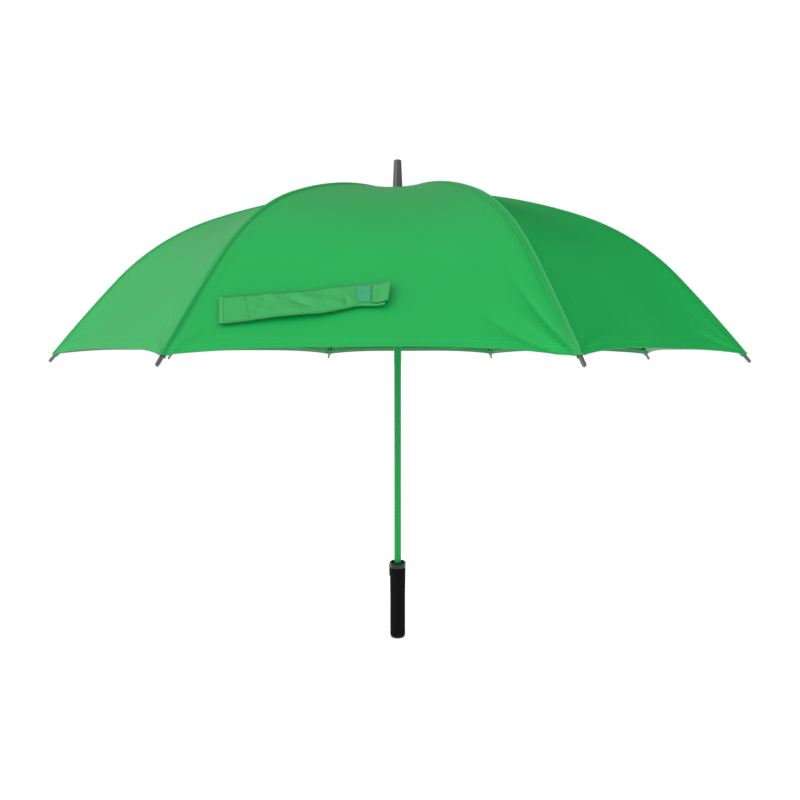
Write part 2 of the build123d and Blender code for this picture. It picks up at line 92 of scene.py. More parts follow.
def angle(name, text, degrees):
    """An angle property, given in degrees."""
    return bpy.props.FloatProperty(
        name=name, description=text, default=math.radians(degrees), subtype="ANGLE"
    )


def number(name, text, default):
    """A plain number property."""
    return bpy.props.FloatProperty(name=name, description=text, default=default)


class CanopySizes(bpy.types.PropertyGroup):
    """Shape of the cloth over the ribs."""

    hinge_radius: length("Hinge radius", "Rib hinges from the shaft's axis", math.hypot(*HINGE[:2]))
    hinge_height: length("Hinge height", "Height of the rib hinges", HINGE[2])
    root_slope: angle("Root slope", "Fall of a rib at its hinge", 2.2)
    joint_arc: length("Joint", "Arc from the hinge to the rib's joint", RIB_ARCS[0][0])
    inner_arc: length("Inner edge", "Arc of the cloth's edge at the crown", -0.004)
    corner_arc: length("Hem corner", "Arc of the hem at a rib", 0.683)
    hem_arc: length("Hem middle", "Arc of the hem between two ribs", 0.6612)
    lift: length("Lift", "Cloth above the rib's axis", 0.0041)
    crown_rise: length("Crown rise", "Extra lift over the notch", 0.0032)
    crown_reach: length("Crown reach", "Reach of that lift along the rib", 0.025)
    sag: length("Sag", "Dip of the middle of a gore", 0.0135)
    sag_reach: length("Sag reach", "Arc over which the dip grows", 0.18)
    hem_fold: length("Hem fold", "Width of the folded hem", 0.011)
    overlap: length("Overlap", "Inner cloth carried under the outer at the joint", 0.016)
    rows: bpy.props.IntProperty(name="Rows", description="Rows of the outer cloth", default=84)
    columns: bpy.props.IntProperty(name="Columns", description="Columns of a half gore", default=56)
    keep: number("Furled share", "Share of a half gore's width left when furled", 0.05)


class StrapSizes(bpy.types.PropertyGroup):
    """The closing strap on the front gore."""

    width: length("Width", "Width of the strap", 0.037)
    lift: length("Lift", "Strap above the cloth", 0.0030)
    thickness: length("Thickness", "Folded thickness", 0.0016)


class Finish(bpy.types.PropertyGroup):
    """Colours of the umbrella."""

    cloth: colour("Cloth", "Canopy cloth", (0.0010, 0.395, 0.072))
    strap: colour("Strap", "Cloth of the closing strap", (0.030, 0.385, 0.090))
    loop: colour("Loop patch", "Hook and loop patch", (0.016, 0.37, 0.145))
    thread: colour("Thread", "Sewing thread", (0.006, 0.20, 0.045))
    shaft: colour("Shaft", "Wrapped fibre shaft", (0.004, 0.30, 0.060))
    gunmetal: colour("Gunmetal", "Ferrule and tips", (0.19, 0.19, 0.19))
    black: colour("Black", "Moulded black parts", (0.004, 0.004, 0.0045))
    foam: colour("Foam", "Foam sleeve", (0.0028, 0.0028, 0.0028))
    steel: colour("Steel", "Wires, pins and spring", (0.55, 0.55, 0.57))
    ribs: colour("Ribs", "Blackened steel of the ribs", (0.035, 0.035, 0.038))


class StageSizes(bpy.types.PropertyGroup):
    """Camera and floor."""

    focal: number("Focal length", "Lens in millimetres", 28.38)
    distance: length("Distance", "Camera from the shaft's axis", 1.2276)
    height: length("Height", "Camera height", 0.5665)
    bearing: angle("Bearing", "Camera round the shaft from -Y", 3.43)
    turn: angle("Turn", "Camera's heading from +Y", 3.215)
    pitch: angle("Pitch", "Camera's look down", 4.286)
    floor: length("Floor", "Half the floor's width", 30.0)
    glow: number("Floor glow", "Light that the floor gives off", 0.75)
    light: number("Soft light", "Strength of the light from all round", 0.86)
    backdrop: number("Backdrop", "Strength of the backdrop as the camera sees it", 1.02)


def sizes(name):
    """The property group registered on the scene under a name."""
    return getattr(bpy.context.scene, "umbrella_" + name)


# ---- The canopy's surface -----------------------------------------------------------------------
def rib_line(arc, lift=0.0):
    """Radius, height and fall of a rib at arc lengths, lifted square to the rib, as arrays."""
    c = sizes("canopy")
    arc = np.asarray(arc, float)
    radius = np.full(arc.shape, c.hinge_radius)
    height = np.full(arc.shape, c.hinge_height)
    fall = np.full(arc.shape, c.root_slope)
    start = 0.0
    for index, (span, turn) in enumerate(RIB_ARCS):
        low = None if index == 0 else 0.0
        high = None if index == len(RIB_ARCS) - 1 else span
        step = arc - start
        step = step if low is None else np.maximum(step, low)
        step = step if high is None else np.minimum(step, high)
        if turn:
            bend = span / math.radians(turn)
            after = fall + step / bend
            radius = radius + bend * (np.sin(after) - np.sin(fall))
            height = height - bend * (np.cos(fall) - np.cos(after))
            fall = after
        else:
            radius = radius + step * np.cos(fall)
            height = height - step * np.sin(fall)
        start += span
    return radius + lift * np.sin(fall), height + lift * np.cos(fall), fall


def rib_point(arc, lift=0.0):
    """Radius, height and fall of a rib at one arc length."""
    return tuple(float(value) for value in rib_line(arc, lift))


def half_width(arc):
    """Half the width of a gore at arc lengths."""
    return rib_line(np.maximum(arc, 0))[0] * math.sin(HALF)


FRONT_GORE = RIB_COUNT - 2
# Creases of the front gore, in millimetres: side and arc of both ends, bend, width, height.
FRONT_CREASES = (
    (223, 679, 156, 548, 5, 5.0, -2.6),
    (219, 678, 148, 594, 4, 10.0, 3.0),
    (213, 682, 120, 611, 6, 5.0, -2.4),
    (206, 684, 96, 640, 5, 10.0, 1.9),
    (221, 675, 193, 645, 2, 2.4, -1.3),
    (216, 668, 196, 590, -2, 5.0, 1.5),
    (-223, 687, -178, 648, 3, 3.6, -1.9),
    (-219, 680, -170, 630, 3, 6.5, 1.8),
    (-223, 672, -196, 590, -3, 4.2, -1.2),
)


# Puckers along a seam: pitch, height and reach from it.
PUCKER_PITCH, PUCKER_HEIGHT, PUCKER_REACH = 0.037, 0.22 * MM, 0.018
# Widths over which creases die out beside a seam and at the crown.
SEAM_FADE, CROWN_FADE = 0.012, 0.10
# Folded seam: height, half width of its ridge, and place and half width of the valley beside it.
SEAM_RISE, RIDGE_WIDTH, VALLEY_PLACE, VALLEY_WIDTH = 0.9 * MM, 0.0022, 0.0060, 0.0032


class Creases:
    """Soft creases of one gore: fans from its two hem corners, seam puckers and slow waves."""

    def __init__(self, gore):
        c = sizes("canopy")
        draw = random.Random(40 + gore)
        self.phase = draw.uniform(0, 2 * math.pi)
        self.waves = [
            (draw.uniform(12, 34), draw.uniform(8, 22), draw.uniform(0, 6.3), draw.uniform(0.2, 0.6))
            for _ in range(5)
        ]
        if gore == FRONT_GORE:
            self.lines = [tuple(value * MM for value in line) for line in FRONT_CREASES]
            return
        self.lines = []
        corner = float(half_width(c.corner_arc))
        for side in (-1, 1):
            sign = draw.choice((-1, 1))
            for index in range(5):
                lean = math.radians(16 + 13 * index + draw.uniform(-4, 4))
                reach = draw.uniform(60, 150) * MM
                start = (side * (corner - draw.uniform(2, 8) * MM), c.corner_arc - 6 * MM)
                sign = -sign
                self.lines.append((
                    *start,
                    start[0] - side * reach * math.sin(lean), start[1] - reach * math.cos(lean),
                    draw.uniform(-5, 5) * MM, draw.uniform(4, 9) * MM,
                    sign * draw.uniform(0.7, 1.9) * MM,
                ))

    def height(self, arc, side):
        """Height of the creases at arcs and distances from the gore's middle line."""
        total = np.zeros(np.broadcast(arc, side).shape)
        for x, y, end_x, end_y, bend, wide, high in self.lines:
            reach = math.hypot(end_x - x, end_y - y)
            run = ((end_x - x) / reach, (end_y - y) / reach)
            share = ((side - x) * run[0] + (arc - y) * run[1]) / reach
            inside = np.clip(share, 0, 1)
            bow = bend * 4 * inside * (1 - inside)
            off = (side - x) * run[1] - (arc - y) * run[0] - bow
            spread = wide * (0.35 + inside)
            ends = np.sin(math.pi * inside) ** 0.75 * (1 - 0.35 * inside)
            total = total + high * np.exp(-((off / spread) ** 2)) * ends
        edge = np.maximum(half_width(arc) - np.abs(side), 0)
        pucker = np.sin(arc * 2 * math.pi / PUCKER_PITCH + self.phase + 14 * side)
        total = total + PUCKER_HEIGHT * pucker * np.exp(-edge / PUCKER_REACH)
        for along, aside, phase, high in self.waves:
            total = total + high * MM * np.sin(along * arc + aside * side + phase)
        fade = np.clip(edge / SEAM_FADE, 0, 1)
        crown = np.clip(arc / CROWN_FADE, 0, 1)
        total = total * fade * fade * (3 - 2 * fade) * crown
        ridge = SEAM_RISE * np.exp(-((edge / RIDGE_WIDTH) ** 2))
        valley = SEAM_RISE * np.exp(-(((edge - VALLEY_PLACE) / VALLEY_WIDTH) ** 2))
        return total + (ridge - valley) * np.clip((arc - 0.03) / 0.05, 0, 1)


def cloth_points(gore, arc, across, lift=0.0, creases=None):
    """Points of the cloth on a gore, across from -1 at one rib to 1 at the next."""
    c = sizes("canopy")
    arc, across = np.broadcast_arrays(np.asarray(arc, float), np.asarray(across, float))
    rise = c.lift + c.crown_rise / (1 + (arc / c.crown_reach) ** 2)
    radius, height, fall = rib_line(arc, rise)
    side = across * radius * math.sin(HALF)
    dip = c.sag * (1 - np.exp(-((np.maximum(arc, 0) / c.sag_reach) ** 2))) * (1 - across**2)
    tilt_x, tilt_z = np.sin(fall) * math.cos(HALF), np.cos(fall)
    size = np.hypot(tilt_x, tilt_z)
    off = lift - dip + (creases.height(arc, side) if creases else 0.0)
    x = radius * math.cos(HALF) + tilt_x / size * off
    z = height + tilt_z / size * off
    turn = gore * GORE
    return np.stack(
        (x * math.cos(turn) - side * math.sin(turn), x * math.sin(turn) + side * math.cos(turn), z),
        axis=-1,
    )


def cloth_point(gore, arc, across, lift, creases):
    """One point of the cloth."""
    return Vector(cloth_points(gore, arc, across, lift, creases))


def cloth_normals(gore, arc, across, creases):
    """Outward unit normals of the cloth."""
    step = 0.0010
    turn = 0.0012 / np.maximum(half_width(arc), 0.01)
    along = cloth_points(gore, arc + step, across, 0, creases)
    along = along - cloth_points(gore, arc - step, across, 0, creases)
    aside = cloth_points(gore, arc, across + turn, 0, creases)
    aside = aside - cloth_points(gore, arc, across - turn, 0, creases)
    found = np.cross(along, aside)
    return found / np.linalg.norm(found, axis=-1, keepdims=True)


# ---- Mesh helpers -------------------------------------------------------------------------------
def new_piece(name, mesh):
    """A new object that holds a mesh, in the scene."""
    piece = bpy.data.objects.new(name, mesh)
    bpy.context.scene.collection.objects.link(piece)
    return piece


def grid_mesh(name, rows, normals, uvs, marks, flip):
    """A mesh from rows of points, with normals, a flat layout and named numbers per point."""
    count, width = len(rows), len(rows[0])
    faces = []
    for i in range(count - 1):
        for j in range(width - 1):
            face = (i * width + j, i * width + j + 1, (i + 1) * width + j + 1, (i + 1) * width + j)
            faces.append(face[::-1] if flip else face)
    mesh = bpy.data.meshes.new(name)
    mesh.from_pydata([p for row in rows for p in row], [], faces)
    mesh.shade_smooth()
    layer = mesh.uv_layers.new(name="cloth")
    flat = [uv for row in uvs for uv in row]
    for loop in mesh.loops:
        layer.data[loop.index].uv = flat[loop.vertex_index]
    for mark, values in marks.items():
        data = mesh.attributes.new(mark, "FLOAT", "POINT").data
        for index, value in enumerate(v for row in values for v in row):
            data[index].value = value
    if normals:
        mesh.normals_split_custom_set_from_vertices([n for row in normals for n in row])
    return mesh


def tube(bm, points, radius, sides=8):
    """A closed tube along points, added to a bmesh."""
    rings = []
    for index, point in enumerate(points):
        ahead = points[min(index + 1, len(points) - 1)] - points[max(index - 1, 0)]
        frame_z = ahead.normalized()
        frame_x = frame_z.orthogonal().normalized()
        frame_y = frame_z.cross(frame_x)
        end = index in (0, len(points) - 1)
        thin = radius * (0.45 if end else 1.0)
        rings.append([
            bm.verts.new(point + (frame_x * math.cos(a) + frame_y * math.sin(a)) * thin)
            for a in (2 * math.pi * i / sides for i in range(sides))
        ])
    for one, two in zip(rings, rings[1:]):
        shift = min(range(sides), key=lambda s: (two[s].co - one[0].co).length)
        for i in range(sides):
            k = (i + 1) % sides
            bm.faces.new((one[i], one[k], two[(k + shift) % sides], two[(i + shift) % sides]))
    bm.faces.new(rings[0][::-1])
    bm.faces.new(rings[-1])


def bmesh_piece(name, bm):
    """An object from a bmesh, with smooth faces and outward normals."""
    bmesh.ops.recalc_face_normals(bm, faces=bm.faces)
    mesh = bpy.data.meshes.new(name)
    bm.to_mesh(mesh)
    bm.free()
    mesh.shade_smooth()
    return new_piece(name, mesh)


# ---- Shader effects that several materials use --------------------------------------------------
def socket(group, name, kind, default=None, out=False):
    """A named socket on a node group."""
    made = group.interface.new_socket(
        name=name, in_out="OUTPUT" if out else "INPUT", socket_type="NodeSocket" + kind
    )
    if default is not None:
        made.default_value = default


def new_group(name, inputs, outputs):
    """A node group with named sockets, its nodes' maker, and its input and output nodes."""
    group = bpy.data.node_groups.new(name, "ShaderNodeTree")
    for key, (kind, default) in inputs.items():
        socket(group, key, kind, default)
    for key in outputs:
        socket(group, key, "Float", out=True)
    n = Nodes(group)
    return group, n, n.add("NodeGroupInput"), n.add("NodeGroupOutput")


class Nodes:
    """Short calls to place and join nodes in one tree."""

    def __init__(self, tree):
        self.tree = tree
        self.column = 0

    def add(self, kind, **values):
        node = self.tree.nodes.new(kind)
        node.location = (self.column * 180, 0)
        self.column += 1
        for key, value in values.items():
            setattr(node, key, value)
        return node

    def join(self, source, target):
        self.tree.links.new(source, target)

    def math(self, operation, a, b=None, c=None, clamp=False):
        node = self.add("ShaderNodeMath", operation=operation, use_clamp=clamp)
        for index, value in enumerate((a, b, c)):
            if value is None:
                continue
            if isinstance(value, (int, float)):
                node.inputs[index].default_value = value
            else:
                self.join(value, node.inputs[index])
        return node.outputs[0]

    def mix(self, share, one, two):
        node = self.add("ShaderNodeMix", data_type="RGBA")
        for index, value in ((0, share), (6, one), (7, two)):
            if isinstance(value, (int, float)):
                node.inputs[index].default_value = value
            elif isinstance(value, (tuple, list)):
                node.inputs[index].default_value = tuple(value)[:3] + (1,)
            else:
                self.join(value, node.inputs[index])
        return node.outputs[2]

    def noise(self, vector, scale, detail=3.0, rough=0.5):
        node = self.add("ShaderNodeTexNoise")
        node.inputs["Scale"].default_value = scale
        node.inputs["Detail"].default_value = detail
        node.inputs["Roughness"].default_value = rough
        self.join(vector, node.inputs["Vector"])
        return node.outputs["Fac"]


def weave_group():
    """Plain weave of fine yarns from a flat layout in metres: height and yarn shade."""
    group, n, start, end = new_group(
        "Plain weave", {"Vector": ("Vector", None), "Yarns per metre": ("Float", 1500.0)},
        ("Height", "Shade"),
    )
    parts = n.add("ShaderNodeSeparateXYZ")
    n.join(start.outputs["Vector"], parts.inputs[0])
    turn = n.math("MULTIPLY", start.outputs["Yarns per metre"], math.pi)
    warp = n.math("SINE", n.math("MULTIPLY", parts.outputs[0], turn))
    weft = n.math("SINE", n.math("MULTIPLY", parts.outputs[1], turn))
    over = n.math("MULTIPLY", warp, weft)
    height = n.math("MULTIPLY_ADD", over, 0.5, 0.5)
    uneven = n.noise(start.outputs["Vector"], 420.0, 2.0)
    n.join(height, end.inputs["Height"])
    n.join(n.math("MULTIPLY_ADD", uneven, 0.6, 0.5), end.inputs["Shade"])
    return group


def grain_group():
    """Fine moulded or foam grain: height and a slow mottling."""
    group, n, start, end = new_group("Grain", {"Scale": ("Float", 900.0)}, ("Height", "Mottle"))
    place = n.add("ShaderNodeTexCoord").outputs["Object"]
    cells = n.add("ShaderNodeTexVoronoi", feature="F1")
    n.join(place, cells.inputs["Vector"])
    n.join(start.outputs["Scale"], cells.inputs["Scale"])
    slow = n.noise(place, 60.0, 4.0)
    fine = n.noise(place, 1400.0, 2.0)
    n.join(n.math("MULTIPLY_ADD", cells.outputs["Distance"], fine, 0.5), end.inputs["Height"])
    n.join(slow, end.inputs["Mottle"])
    return group


def wear_group():
    """Edge wear and handling marks: a mask that is high on sharp edges and in rubbed spots."""
    group, n, start, end = new_group("Rubbed edges", {"Amount": ("Float", 0.4)}, ("Mask",))
    edge = n.add("ShaderNodeNewGeometry").outputs["Pointiness"]
    place = n.add("ShaderNodeTexCoord").outputs["Object"]
    spots = n.noise(place, 240.0, 5.0, 0.6)
    sharp = n.math("MULTIPLY", n.math("SUBTRACT", edge, 0.52, clamp=True), 9.0, clamp=True)
    n.join(
        n.math("MULTIPLY", n.math("MULTIPLY", sharp, spots), start.outputs["Amount"]),
        end.inputs["Mask"],
    )
    return group


GROUPS = {}


def group_node(n, name):
    """A node that holds one of the shared groups, which is built on first use."""
    makers = {"weave": weave_group, "grain": grain_group, "wear": wear_group}
    if name not in GROUPS:
        GROUPS[name] = makers[name]()
    return n.add("ShaderNodeGroup", node_tree=GROUPS[name])


def new_material(name, **uniform):
    """A material with a Principled shader, whose uniform values are set on its own sockets."""
    material = bpy.data.materials.new(name)
    material.use_nodes = True
    n = Nodes(material.node_tree)
    shader = material.node_tree.nodes["Principled BSDF"]
    for key, value in uniform.items():
        socket_name = key.replace("_", " ").title().replace("Ior", "IOR")
        given = tuple(value)[:3] + (1,) if isinstance(value, (tuple, list)) else value
        shader.inputs[socket_name].default_value = given
    return material, n, shader


def bump(n, shader, height, distance, strength):
    """A bump of a height mask on the shader's normal."""
    node = n.add("ShaderNodeBump")
    node.inputs["Distance"].default_value = distance
    node.inputs["Strength"].default_value = strength
    n.join(height, node.inputs["Height"])
    n.join(node.outputs[0], shader.inputs["Normal"])


def scaled(value, factor):
    """A colour with its brightness scaled."""
    return tuple(min(part * factor, 1.0) for part in value)


# Distances from a seam: its folded edge, the half width of the painted dark line there, the reach of the painted
# highlight on its crest and the band of painted shade.
SEAM_FOLD, SEAM_LINE, SEAM_HIGHLIGHT, SEAM_SHADE = 0.0042, 0.0018, 0.0020, 0.022
# Hem stitches: distance from the edge, half the thread's width and radians per metre of their wave.
HEM_STITCHES, HEM_THREAD, STITCH_WAVE = 0.009, 0.0004, 2094


def cloth_material(name, base, seams=True):
    """Fine pongee cloth: weave, mottling, seams with painted shade and a painted highlight, hem stitches, and
    painted shade on the side that faces down.
    """
    material, n, shader = new_material(name, roughness=0.46, specular_ior_level=0.45)
    flat = n.add("ShaderNodeUVMap", uv_map="cloth").outputs[0]
    place = n.add("ShaderNodeTexCoord").outputs["Object"]
    weave = group_node(n, "weave")
    n.join(flat, weave.inputs["Vector"])
    slow = n.noise(place, 7.0, 4.0, 0.55)
    shade = n.mix(slow, scaled(base, 0.93), scaled(base, 1.07))
    shade = n.mix(n.math("MULTIPLY", weave.outputs["Shade"], 0.10), shade, scaled(base, 1.35))
    surface = n.add("ShaderNodeNewGeometry")
    facing = n.add("ShaderNodeSeparateXYZ")
    n.join(surface.outputs["Normal"], facing.inputs[0])
    if seams:
        seam = n.add("ShaderNodeAttribute", attribute_name="seam").outputs["Fac"]
        hem = n.add("ShaderNodeAttribute", attribute_name="hem").outputs["Fac"]
        # Painted shade: the cloth is darkened where it faces down at rest and where it is seen from behind,
        # standing in for the shade under the canopy.
        down = n.math("MULTIPLY", n.math("SUBTRACT", -0.25, facing.outputs[2]), 4.0, clamp=True)
        reverse = n.math("MAXIMUM", down, surface.outputs["Backfacing"])
        shade = n.mix(n.math("MULTIPLY", reverse, 0.8), shade, scaled(base, 0.22))
        from_fold = n.math("ABSOLUTE", n.math("SUBTRACT", seam, SEAM_FOLD))
        fold_shade, seam_highlight, band = (
            n.math("SUBTRACT", 1.0, n.math("DIVIDE", away, reach), clamp=True)
            for away, reach in ((from_fold, SEAM_LINE), (seam, SEAM_HIGHLIGHT), (seam, SEAM_SHADE))
        )
        # Painted shade in a band beside the seam and in a dark line at its folded edge, and a painted highlight
        # along its crest.
        shade = n.mix(n.math("MULTIPLY", band, 0.22), shade, scaled(base, 0.55))
        shade = n.mix(n.math("MULTIPLY", fold_shade, 0.45), shade, scaled(base, 0.40))
        shade = n.mix(n.math("MULTIPLY", seam_highlight, 0.35), shade, (0.10, 0.58, 0.20))
        off = n.math("ABSOLUTE", n.math("SUBTRACT", hem, HEM_STITCHES))
        line = n.math("LESS_THAN", off, HEM_THREAD)
        parts = n.add("ShaderNodeSeparateXYZ")
        n.join(flat, parts.inputs[0])
        wave = n.math("SINE", n.math("MULTIPLY", parts.outputs[0], STITCH_WAVE))
        dash = n.math("GREATER_THAN", wave, -0.3)
        stitch = n.math("MULTIPLY", line, dash)
        shade = n.mix(n.math("MULTIPLY", stitch, 0.5), shade, scaled(base, 1.7))
    else:
        # Painted shade: the strap is darkened on its edges and where it faces down.
        down = n.math("MULTIPLY", n.math("SUBTRACT", 0.12, facing.outputs[2]), 5.0, clamp=True)
        shade = n.mix(down, shade, scaled(base, 0.24))
    n.join(shade, shader.inputs["Base Color"])
    n.join(n.math("MULTIPLY_ADD", slow, 0.12, 0.38), shader.inputs["Roughness"])
    bump(n, shader, weave.outputs["Height"], 0.00006, 0.55)
    return material


def loop_material(name, base):
    """Knitted loop pile of the strap's patch."""
    material, n, shader = new_material(
        name, roughness=0.85, sheen_weight=0.5, sheen_roughness=0.5,
        specular_ior_level=0.25,
    )
    place = n.add("ShaderNodeTexCoord").outputs["Object"]
    pile = n.noise(place, 520.0, 3.0, 0.7)
    rows = n.noise(place, 260.0, 2.0)
    shade = n.mix(pile, scaled(base, 0.25), scaled(base, 1.75))
    knitted = n.mix(n.math("MULTIPLY", rows, 0.4), shade, scaled(base, 0.8))
    n.join(knitted, shader.inputs["Base Color"])
    bump(n, shader, pile, 0.0005, 0.9)
    return material


def shaft_material(name, base):
    """Lacquered shaft of wound fibre, with faint diagonal winding marks."""
    material, n, shader = new_material(
        name, roughness=0.34, coat_weight=0.12, coat_roughness=0.16,
        specular_ior_level=0.25, specular_tint=(0.5, 1.0, 0.6),
    )
    place = n.add("ShaderNodeTexCoord").outputs["Object"]
    parts = n.add("ShaderNodeSeparateXYZ")
    n.join(place, parts.inputs[0])
    round_it = n.math("ARCTAN2", parts.outputs[1], parts.outputs[0])
    climb = n.math("MULTIPLY", parts.outputs[2], 420.0)
    marks = []
    for way in (1, -1):
        wind = n.math("ADD", climb, n.math("MULTIPLY", round_it, way))
        marks.append(n.math("SINE", wind))
    cross = n.math("MULTIPLY", marks[0], marks[1])
    fibre = n.noise(place, 700.0, 4.0, 0.6)
    mask = n.math("MULTIPLY_ADD", cross, 0.22, fibre)
    shade = n.mix(mask, scaled(base, 0.72), scaled(base, 1.32))
    n.join(shade, shader.inputs["Base Color"])
    n.join(n.math("MULTIPLY_ADD", fibre, 0.18, 0.24), shader.inputs["Roughness"])
    bump(n, shader, mask, 0.00012, 0.6)
    return material


def metal_material(name, base, roughness):
    """Plated or brushed metal, with fine turning lines and rubbed edges."""
    material, n, shader = new_material(name, metallic=0.92, roughness=roughness)
    place = n.add("ShaderNodeTexCoord").outputs["Object"]
    stretch = n.add("ShaderNodeMapping")
    stretch.inputs["Scale"].default_value = (1.0, 1.0, 14.0)
    n.join(place, stretch.inputs["Vector"])
    lines = n.noise(stretch.outputs[0], 260.0, 4.0, 0.65)
    rubbed = group_node(n, "wear")
    shade = n.mix(lines, scaled(base, 0.82), scaled(base, 1.18))
    n.join(n.mix(rubbed.outputs["Mask"], shade, scaled(base, 2.2)), shader.inputs["Base Color"])
    n.join(n.math("MULTIPLY_ADD", lines, 0.16, roughness - 0.08), shader.inputs["Roughness"])
    bump(n, shader, lines, 0.00004, 0.5)
    return material


def moulded_material(name, base, roughness, grain, depth, coat=0.0, wear=0.3):
    """Moulded plastic or foam with its grain, handling gloss and rubbed edges."""
    material, n, shader = new_material(
        name, roughness=roughness, specular_ior_level=0.10, coat_weight=coat, coat_roughness=0.08
    )
    texture = group_node(n, "grain")
    texture.inputs["Scale"].default_value = grain
    rubbed = group_node(n, "wear")
    rubbed.inputs["Amount"].default_value = wear
    shade = n.mix(texture.outputs["Mottle"], scaled(base, 0.8), scaled(base, 1.35))
    lighter = tuple(part * 2.0 + 0.006 for part in base)
    n.join(n.mix(rubbed.outputs["Mask"], shade, lighter), shader.inputs["Base Color"])
    rough = n.math("MULTIPLY_ADD", texture.outputs["Mottle"], 0.14, roughness - 0.07)
    n.join(rough, shader.inputs["Roughness"])
    bump(n, shader, texture.outputs["Height"], depth, 0.7)
    return material


# Each finish: what makes it, which colour it takes, and its own values.
FINISHES = {
    "canopy cloth": (cloth_material, "cloth", {}),
    "strap cloth": (cloth_material, "strap", {"seams": False}),
    "strap loop pile": (loop_material, "loop", {}),
    "sewing thread": (
        moulded_material, "thread", {"roughness": 0.6, "grain": 3000.0, "depth": 0.00003}),
    "green wound shaft": (shaft_material, "shaft", {}),
    "gunmetal": (metal_material, "gunmetal", {"roughness": 0.24}),
    "black rib steel": (metal_material, "ribs", {"roughness": 0.36}),
    "bright steel": (metal_material, "steel", {"roughness": 0.26}),
    "black moulding": (
        moulded_material, "black", {"roughness": 0.42, "grain": 1800.0, "depth": 0.00003}),
    "gloss black": (moulded_material, "black", {
        "roughness": 0.16, "grain": 900.0, "depth": 0.00001, "coat": 0.6, "wear": 0.2}),
    "grip foam": (moulded_material, "foam", {
        "roughness": 0.82, "grain": 1300.0, "depth": 0.00028, "wear": 0.08}),
}


def finish_material(name):
    """One of the umbrella's finishes, made on first use."""
    if name in bpy.data.materials:
        return bpy.data.materials[name]
    maker, key, values = FINISHES[name]
    return maker(name, tuple(getattr(sizes("finish"), key)), **values)


def paint(piece, name):
    """Give a piece one finish in its only material slot."""
    piece.data.materials.clear()
    piece.data.materials.append(finish_material(name))


# ---- Operators ----------------------------------------------------------------------------------
HEM_HEIGHT = 0.55
SENSOR = 36.0
# Name, place, width in metres and watts of each lamp.
LAMPS = (
    ("key", (-2.6, -2.4, 2.3), 1.3, 26.0),
    ("fill", (2.8, -1.6, 1.2), 1.8, 3.0),
    ("back", (-0.6, 2.8, 1.8), 1.6, 2.0),
)


class UMBRELLA_OT_stage(bpy.types.Operator):
    """Floor, studio light and camera"""

    bl_idname = "umbrella.stage"
    bl_label = "Stage"

    def execute(self, context):
        s = sizes("stage")
        bm = bmesh.new()
        bmesh.ops.create_grid(bm, x_segments=2, y_segments=2, size=s.floor)
        floor = bmesh_piece("floor", bm)
        material = new_material(
            "pale floor", base_color=(0.94, 0.94, 0.94), roughness=0.9, specular_ior_level=0.1,
            emission_color=(1, 1, 1), emission_strength=s.glow,
        )[0]
        floor.data.materials.append(material)
        world = bpy.data.worlds.new("studio")
        world.use_nodes = True
        n = Nodes(world.node_tree)
        background = world.node_tree.nodes["Background"]
        background.inputs[0].default_value = (1, 1, 1, 1)
        path = n.add("ShaderNodeLightPath")
        around = n.add("ShaderNodeSeparateXYZ")
        n.join(n.add("ShaderNodeTexCoord").outputs["Generated"], around.inputs[0])
        # Reflections see a dark room with a pale wall on the left and a pale ceiling.
        above = n.math("MULTIPLY_ADD", around.outputs[2], 0.5, -0.10)
        left = n.math("MULTIPLY", around.outputs[0], 0.60)
        wall = n.math("SUBTRACT", above, left, clamp=True)
        dimmer = n.math("SUBTRACT", s.light, wall)
        less = n.math("MULTIPLY", path.outputs["Is Glossy Ray"], dimmer)
        seen = n.math("MULTIPLY_ADD", path.outputs["Is Camera Ray"], s.backdrop - s.light, s.light)
        n.join(n.math("SUBTRACT", seen, less), background.inputs[1])
        context.scene.world = world
        context.scene.view_settings.view_transform = "Standard"
        target = Vector((0, 0, HEM_HEIGHT))
        for name, place, size, power in LAMPS:
            light = bpy.data.lights.new(name, "AREA")
            light.size = size
            light.energy = power
            lamp = bpy.data.objects.new(name, light)
            lamp.location = place
            lamp.rotation_euler = (target - Vector(place)).to_track_quat("-Z", "Y").to_euler()
            context.scene.collection.objects.link(lamp)
        camera = bpy.data.objects.new("camera", bpy.data.cameras.new("camera"))
        camera.data.lens = s.focal
        camera.data.sensor_width = SENSOR
        camera.location = (
            s.distance * math.sin(s.bearing), -s.distance * math.cos(s.bearing), s.height
        )
        camera.rotation_euler = (math.pi / 2 - s.pitch, 0, s.turn)
        context.scene.collection.objects.link(camera)
        context.scene.camera = camera
        return {"FINISHED"}


def fold_axis(rib, toward, first, last):
    """Axis and anchor that gather a half gore onto its rib between two arcs.

    The axis lies in the half gore, square to the rib's chord, and points away from the rib. The
    anchor is where the rib stands furthest from its chord, so the two halves never part there."""
    gore = rib if toward > 0 else (rib + 1) % RIB_COUNT
    arcs = [first + (last - first) * k / 16 for k in range(17)]
    seam = [cloth_point(gore, arc, toward, 0, None) for arc in arcs]
    middle = [cloth_point(gore, arc, 0, 0, None) for arc in arcs]
    chord = (seam[-1] - seam[0]).normalized()
    run = Vector()
    for one, two in zip(seam, middle):
        run += two - one
    axis = (run - chord * run.dot(chord)).normalized()
    anchor = min(seam, key=lambda point: (point - seam[0]).dot(axis))
    return tuple(axis), tuple(anchor)


def gather(piece, rib, toward, outer):
    """Ride a piece on its rib and give it its own mesh; the fold's axis and anchor are found but not used."""
    c = sizes("canopy")
    first, last = (c.joint_arc, c.corner_arc) if outer else (0.0, c.joint_arc)
    axis, anchor = fold_axis(rib, toward, first, last)
    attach(piece, f"rib_end_{rib + 1}" if outer else f"rib_{rib + 1}")
    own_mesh(piece)


